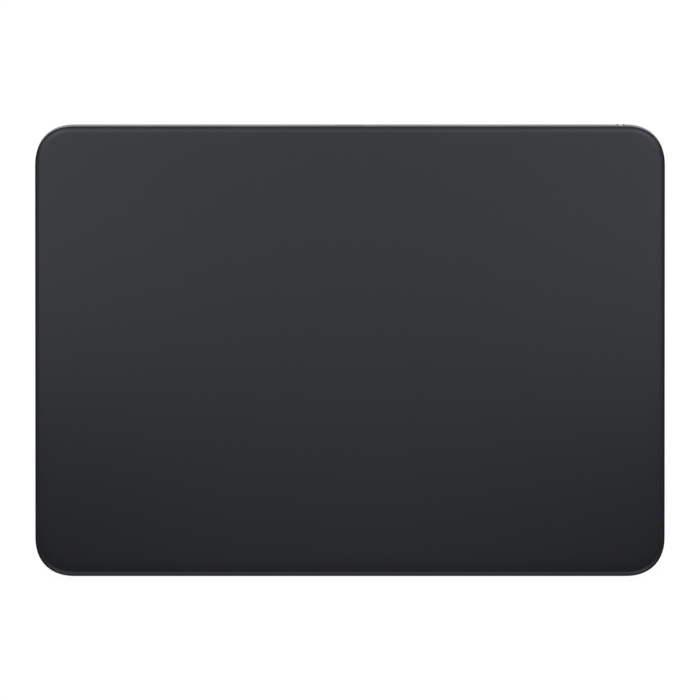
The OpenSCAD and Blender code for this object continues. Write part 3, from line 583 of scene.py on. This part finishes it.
def round_posts(spots, d, low, high):
    """Upright cylinders at those spots; high gives their top's height at a point."""
    solids = []
    for x, y in spots:
        top = [Vector((p.x, p.y, high(p.y))) for p in circle_ring(x, y, 0, d / 2)]
        solids.append([[Vector((p.x, p.y, low(y))) for p in top], top])
    return solids


def screw_holes():
    """The base screws' threads from below, and the beam screws' threads from their seats."""
    base = round_posts(corner_spots(FOOT_INSET, FOOT_INSET), SCREW_D, lambda y: 0,
                       lambda y: FLOOR_Z + BASE_THREAD_L)
    seats = []
    for x, y in corner_spots(BEAM_ROOT_INSET, BEAM_INSET):
        seats += [(x, y - BEAM_SCREW_PITCH / 2), (x, y + BEAM_SCREW_PITCH / 2)]
    beams = round_posts(seats, SCREW_D, lambda y: under_deck(y, SEAT_Z + BEAM_SCREW_L),
                        lambda y: under_deck(y, SEAT_Z - OVERCUT))
    return base + beams


def paint_opening_shade(housing, material):
    """Paints shade on the faces inside the back wall's two openings, with the given dark finish."""
    housing.data.materials.append(material)
    openings = ((0, MOUTH_W, MOUTH_H), (SLOT_X, SLOT_W, SLOT_H))
    for face in housing.data.polygons:
        at = face.center / MM
        in_wall = PAINTED_SHADE_START < BACK_Y - at.y < WALL_T and abs(face.normal.y) < PAINTED_SHADE_TURN
        for x, w, h in openings:
            beside = abs(at.x - x) < w / 2 + PAINTED_SHADE_REACH
            if in_wall and beside and abs(at.z - PORT_Z) < h / 2 + PAINTED_SHADE_REACH:
                face.material_index = 1


def build_housing(materials):
    housing = lofted("housing_shell", wall_rings(), loop=True)
    carve(housing, lofted("gussets", *gussets()), "UNION")
    posts = round_posts(corner_spots(FOOT_INSET, FOOT_INSET), BOSS_D, lambda y: FLOOR_Z,
                        lambda y: under_deck(y, BOSS_Z))
    carve(housing, lofted("bosses", *posts), "UNION")
    carve(housing, lofted("threads", *screw_holes()), "DIFFERENCE")
    inside_y = BACK_Y - 3 * WALL_T
    grow = 4 * OPENING_CHAMFER
    mouth = flared(stadium(MOUTH_W, MOUTH_H), stadium(MOUTH_W + grow, MOUTH_H + grow), 0, inside_y)
    slot = flared(plain_rect(SLOT_W, SLOT_H, SLOT_R),
                  plain_rect(SLOT_W + grow, SLOT_H + grow, SLOT_R + grow / 2), SLOT_X, inside_y)
    carve(housing, lofted("openings", mouth, slot), "DIFFERENCE")
    settle(housing, materials["anodised_aluminium"], "anodised_aluminium", "base", "housing")
    # The dark aluminium inside the openings is painted shade.
    paint_opening_shade(housing, materials["dark_aluminium"])


def build_feet(materials):
    for x, y in corner_spots(FOOT_INSET, FOOT_INSET):
        name = corner_name(x, y)
        rings = []
        for a in arc(math.pi / 2, 0, FOOT_EDGE_STEPS):
            r = FOOT_D / 2 - FOOT_EDGE_R * (1 - math.cos(a))
            rings.append(circle_ring(x, y, FOOT_EDGE_R * (1 - math.sin(a)), r))
        rings.append(circle_ring(x, y, FOOT_H - FOOT_BACK_EDGE, FOOT_D / 2))
        rings.append(circle_ring(x, y, FOOT_H, FOOT_D / 2 - FOOT_BACK_EDGE))
        rings += [circle_ring(x, y, z, FOOT_POCKET_D / 2) for z in (FOOT_H, FOOT_POCKET_Z)]
        foot = lofted("rubber_foot_" + name, rings)
        settle(foot, materials["foot_rubber"], "foot_rubber", "base", "foot_" + name)


def build_port(materials):
    front = BACK_Y - PORT_SINK
    lip = PORT_WALL / 2
    rings = [upright(stadium(PORT_W, PORT_H), 0, front - PORT_L)]
    for a in arc(0, math.pi, PORT_LIP_STEPS):
        thin = 2 * lip * (1 - math.cos(a))
        rings.append(upright(stadium(PORT_W - thin, PORT_H - thin), 0, front - lip * (1 - math.sin(a))))
    rings.append(upright(stadium(PORT_W - 2 * PORT_WALL, PORT_H - 2 * PORT_WALL), 0, front - PORT_L))
    shell = lofted("port_can", rings, loop=True)
    settle(shell, materials["sheet_steel"], "sheet_steel", "base", "port_shell")


def build_contacts(materials, root):
    """Rows of contacts on both faces of the tongue."""
    y = root + TONGUE_L - CONTACT_L - CONTACT_INSET
    solids = []
    for k in range(CONTACTS):
        x = (k - (CONTACTS - 1) / 2) * CONTACT_PITCH
        for side in (-1, 1):
            face = PORT_Z + side * TONGUE_T / 2
            low, high = sorted((face - side * CONTACT_T, face + side * CONTACT_T))
            solids.append(block((x - CONTACT_W / 2, y, low), (x + CONTACT_W / 2, y + CONTACT_L, high)))
    contacts = lofted("port_contacts", *solids)
    settle(contacts, materials["contact_gold"], "sheet_steel", "base")


def build_tongue(materials):
    back = BACK_Y - PORT_SINK - PORT_L
    root = back + TONGUE_BLOCK_L
    tip = root + TONGUE_L
    inner = stadium(PORT_W - 2 * PORT_WALL - TONGUE_FIT, PORT_H - 2 * PORT_WALL - TONGUE_FIT)
    tongue = lofted("port_blade", [upright(inner, 0, back), upright(inner, 0, root)])
    edge = TONGUE_EDGE
    full = plain_rect(TONGUE_W, TONGUE_T, edge)
    blade = [upright(full, 0, root - edge), upright(full, 0, tip - edge),
             upright(plain_rect(TONGUE_W - 2 * edge, TONGUE_T - edge, edge / 2), 0, tip)]
    carve(tongue, lofted("blade", blade), "UNION")
    settle(tongue, materials["chip_plastic"], "chip_plastic", "base", "port_tongue")
    build_contacts(materials, root)


def scoop_rings(tip_y):
    """The channel between the knob's ribs, deeper at its two ends so that a ledge shows from above."""
    ledge_z = KNOB_H / 2 - LEDGE_W
    levels = ((KNOB_H, LEDGE_W), (ledge_z, LEDGE_W), (ledge_z - LEDGE_FALL, 0))
    rings = []
    for side, rows in ((-1, levels), (1, reversed(levels))):
        for z, extra in rows:
            flat = plain_rect(SCOOP_W, 2 * (SCOOP_D + extra), SCOOP_R)
            rings.append([Vector((KNOB_X + u, tip_y + v, PORT_Z + side * z)) for u, v in flat])
    return rings


def paint_scoop_highlight(knob, material):
    """Paints a highlight on the cut between the ribs, in bright metal."""
    knob.data.materials.append(material)
    for face in knob.data.polygons:
        at = face.center / MM
        if abs(at.x - KNOB_X) < SCOOP_W / 2 + HIGHLIGHT_REACH and at.y > BACK_Y - HIGHLIGHT_DEPTH:
            face.material_index = 1


def build_knob(materials):
    inner_y = BACK_Y - WALL_T / math.cos(TILT)
    skirt_y1 = inner_y - SKIRT_GAP
    skirt_y0 = skirt_y1 - SKIRT_T
    tip_y = BACK_Y + KNOB_PROUD
    post = [upright(plain_rect(KNOB_W, KNOB_H, KNOB_R), KNOB_X, skirt_y0 + SKIRT_T / 2)]
    for a in arc(0, math.pi / 2, KNOB_EDGE_STEPS):
        thin = 2 * KNOB_EDGE * (1 - math.cos(a))
        flat = plain_rect(KNOB_W - thin, KNOB_H - thin, KNOB_R - thin / 2)
        post.append(upright(flat, KNOB_X, tip_y - KNOB_EDGE * (1 - math.sin(a))))
    knob = lofted("slider_button", post)
    skirt = [upright(plain_rect(SKIRT_W, SKIRT_H, SKIRT_R), KNOB_X, y) for y in (skirt_y0, skirt_y1)]
    carve(knob, lofted("skirt", skirt), "UNION")
    carve(knob, lofted("scoop", scoop_rings(tip_y)), "DIFFERENCE")
    pocket = block((KNOB_X - LEVER_W / 2, skirt_y0 - OVERCUT, PORT_Z - LEVER_H / 2),
                   (KNOB_X + LEVER_W / 2, skirt_y1 + LEVER_REACH, PORT_Z + LEVER_H / 2))
    carve(knob, lofted("pocket", pocket), "DIFFERENCE")
    settle(knob, materials["dark_aluminium"], "dark_aluminium", "power_slider", "switch_knob")
    # The bright metal in the scoop's cut is a painted highlight.
    paint_scoop_highlight(knob, materials["anodised_aluminium"])


def build_beams(materials):
    """The four packed beams again, cut across at even steps from root to tip."""
    for x, y in corner_spots(BEAM_ROOT_INSET, BEAM_INSET):
        name = corner_name(x, y)
        root = Vector((x - math.copysign(BEAM_ROOT_L / 2, x), y, 0))
        tip = root - Vector((math.copysign(BEAM_NECK_L, x), 0, 0))
        bm = bmesh.new()
        bm.from_mesh(frame["nodes"]["force_beam_" + name].data)
        bm.transform(Matrix.Scale(1 / MM, 4))
        bmesh.ops.remove_doubles(bm, verts=bm.verts, dist=MM)
        for at in arc(root.x, tip.x, ARC_STEPS):
            bmesh.ops.bisect_plane(bm, geom=bm.verts[:] + bm.edges[:] + bm.faces[:], dist=MM,
                                   plane_co=(at, 0, 0), plane_no=(1, 0, 0))
        bmesh.ops.dissolve_degenerate(bm, edges=bm.edges, dist=MM)
        beam = finish_mesh("bending_beam_" + name, bm)
        settle(beam, materials["sheet_steel"], "sheet_steel", "base", "force_beam_" + name,
               bend=(root, tip))


def build_ribbon(materials):
    """The plate's ribbon cable, which rises in a soft bend from the main board to the moving plate."""
    foot, rise = RIBBON_ROUTE[1:3]
    route = [RIBBON_ROUTE[0]]
    for share in arc(0, 1, 2 * ARC_STEPS):
        smooth = share * share * (3 - 2 * share)
        route.append((foot[0] + (rise[0] - foot[0]) * share, foot[1] + (rise[1] - foot[1]) * smooth))
    route.append(RIBBON_ROUTE[3])
    half = RIBBON_W / 2
    section = [(-half, 0), (half, 0), (half, RIBBON_T), (-half, RIBBON_T)]
    rings = [[Vector((RIBBON_X + u, y, z + v)) for u, v in section] for y, z in route]
    ribbon = lofted("plate_ribbon", rings)
    bend = [Vector((RIBBON_X, *point)) for point in (foot, rise)]
    settle(ribbon, materials["flex_film"], "flex_film", "base", "sensor_flex", bend=bend)


# Camera, light and floor, in metres

SENSOR_W = 36
CAMERA_FAR = 6.0
FRAME_W = 0.17792
CAMERA_LEAN = math.radians(0.25)
CAMERA_AIM = Vector((0, 0.00008, 0.0065))

FLOOR_HALF = 6.0
FLOOR_COLOUR = 0.09
FLOOR_GLOW = 0.95
WORLD_HORIZON = 0.35
WORLD_ABOVE = 0.02
HORIZON_BAND = 0.3

# Soft panels level overhead: x, y, width, depth, radiance
TOP_Z = 0.3
OVERHEAD = {
    "top_middle": (0, 0.045, 0.12, 0.18, 0.88),
    "top_end": (0.155, 0.045, 0.19, 0.18, 1.24),
    "top_rear": (0.28, 0.195, 0.44, 0.12, 0.9),
    "top_side": (0.375, 0, 0.25, 0.09, 0.45),
    "top_fade": (0, -0.075, 0.12, 0.06, 0.45),
}

# Soft panels a metre away: angle round from the right, angle up, width, height, radiance
ROUND = {
    "back_high": (90, 62, 0.9, 0.62, 1.0),
    "back_low": (90, 32, 0.9, 0.4, 0.62),
    "corner_high": (45, 50, 0.6, 0.4, 0.8),
    "corner_low": (45, 24, 0.6, 0.36, 0.12),
    "front_high": (270, 63, 0.9, 0.25, 0.1),
    "front": (270, 41, 0.9, 0.46, 0.98),
    "front_corner": (308, 41, 0.5, 0.46, 0.6),
    "side": (0, 41, 0.9, 0.15, 0.63),
}


def add_camera():
    data = bpy.data.cameras.new("camera")
    data.sensor_width = SENSOR_W
    data.lens = SENSOR_W * CAMERA_FAR / FRAME_W
    camera = bpy.data.objects.new("camera", data)
    reach = Vector((0, math.sin(CAMERA_LEAN), math.cos(CAMERA_LEAN)))
    camera.location = CAMERA_AIM + CAMERA_FAR * reach
    camera.rotation_euler = (-CAMERA_LEAN, 0, 0)
    bpy.context.scene.collection.objects.link(camera)
    bpy.context.scene.camera = camera


def add_panel(name, place, aim, size, radiance):
    data = bpy.data.lights.new(name, "AREA")
    data.shape = "RECTANGLE"
    data.size, data.size_y = size
    data.energy = radiance * math.pi * size[0] * size[1]
    lamp = bpy.data.objects.new(name, data)
    lamp.location = place
    lamp.rotation_euler = (aim - place).to_track_quat("-Z", "Y").to_euler()
    lamp.visible_camera = False
    bpy.context.scene.collection.objects.link(lamp)


def add_panels():
    """Every soft panel, and a mirrored one for each that stands to the right."""
    panels = {}
    for name, (x, y, w, d, radiance) in OVERHEAD.items():
        panels[name] = (Vector((x, y, TOP_Z)), Vector((x, y, 0)), (w, d), radiance)
    for name, (turn, rise, w, h, radiance) in ROUND.items():
        turn, rise = math.radians(turn), math.radians(rise)
        level = math.cos(rise)
        place = Vector((level * math.cos(turn), level * math.sin(turn), math.sin(rise)))
        panels[name] = (place, Vector(), (w, h), radiance)
    mirror = Vector((-1, 1, 1))
    for name, (place, aim, size, radiance) in panels.items():
        add_panel(name, place, aim, size, radiance)
        if place.x > MM:
            add_panel(name + "_left", place * mirror, aim * mirror, size, radiance)


def add_world():
    world = bpy.data.worlds.new("studio")
    world.use_nodes = True
    tree = world.node_tree
    ray = node(tree, "TexCoord", {}).outputs["Generated"]
    height = node(tree, "SeparateXYZ", {"Vector": ray}).outputs["Z"]
    strength = spread(tree, height, WORLD_HORIZON, WORLD_ABOVE, 0.0, HORIZON_BAND)
    tree.links.new(strength, tree.nodes["Background"].inputs["Strength"])
    tree.nodes["Background"].inputs["Color"].default_value = (1, 1, 1, 1)
    bpy.context.scene.world = world


def add_floor():
    """A pale floor that shows white to the eye and in gloss, and keeps a soft shadow."""
    material = bpy.data.materials.new("floor")
    material.use_nodes = True
    tree = material.node_tree
    tree.nodes.clear()
    rays = node(tree, "LightPath", {}).outputs
    seen = rays["Is Camera Ray"]
    for other in ("Is Glossy Ray", "Is Transmission Ray"):
        seen = node(tree, "Math", {0: seen, 1: rays[other]}, operation="MAXIMUM").outputs[0]
    strength = node(tree, "Math", {0: seen, 1: FLOOR_GLOW}, operation="MULTIPLY").outputs[0]
    glow = node(tree, "Emission", {"Color": (1, 1, 1, 1), "Strength": strength}).outputs[0]
    paint = node(tree, "BsdfDiffuse", {"Color": (*[FLOOR_COLOUR] * 3, 1)}).outputs[0]
    total = node(tree, "AddShader", {0: glow, 1: paint}).outputs[0]
    node(tree, "OutputMaterial", {"Surface": total})
    bm = bmesh.new()
    bmesh.ops.create_grid(bm, x_segments=1, y_segments=1, size=FLOOR_HALF)
    mesh = bpy.data.meshes.new("floor")
    bm.to_mesh(mesh)
    bm.free()
    mesh.materials.append(material)
    floor = bpy.data.objects.new("floor", mesh)
    bpy.context.scene.collection.objects.link(floor)


add_camera()
add_panels()
add_world()
add_floor()
finishes = make_materials()
dress_nodes(finishes)
build_glass(finishes)
build_housing(finishes)
build_feet(finishes)
build_port(finishes)
build_tongue(finishes)
build_knob(finishes)
build_beams(finishes)
build_ribbon(finishes)

bpy.context.scene.view_settings.view_transform = "Standard"
